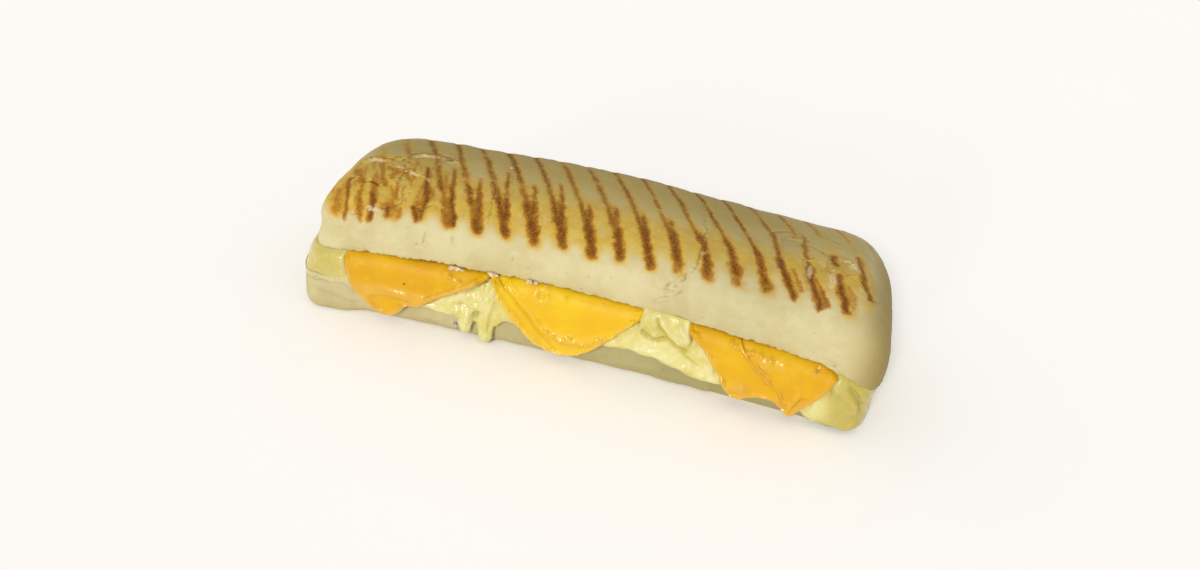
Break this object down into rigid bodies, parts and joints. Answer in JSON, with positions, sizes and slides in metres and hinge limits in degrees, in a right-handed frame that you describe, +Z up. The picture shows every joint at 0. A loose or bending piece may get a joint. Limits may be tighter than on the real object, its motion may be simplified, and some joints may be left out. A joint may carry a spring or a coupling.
{
  "type": "panini",
  "caption": "Grilled panini: a domed bread crown with grill marks and a bread heel, mozzarella drooping between them and cheddar slices whose corners hang over the front.",
  "frame": {"origin": "on the flat underside, below the middle of the bounding box", "axes": "+X along the loaf towards the right end in the picture, +Y away from the front where the cheese hangs, +Z up"},
  "size_m": [0.256, 0.0868, 0.0622],
  "materials": {
    "crown_bread": "matt pale crust with brown grill marks and blistered flakes",
    "heel_bread": "matt pale bread",
    "mozzarella": "glossy pale melted cheese",
    "cheddar": "glossy orange-yellow melted cheese"
  },
  "bodies": {
    "root": {"bread_bottom": "heel_bread", "mozzarella": "mozzarella", "cheddar_left": "cheddar", "cheddar_middle": "cheddar", "cheddar_right": "cheddar", "bread_top": "crown_bread"}
  },
  "joints": []
}
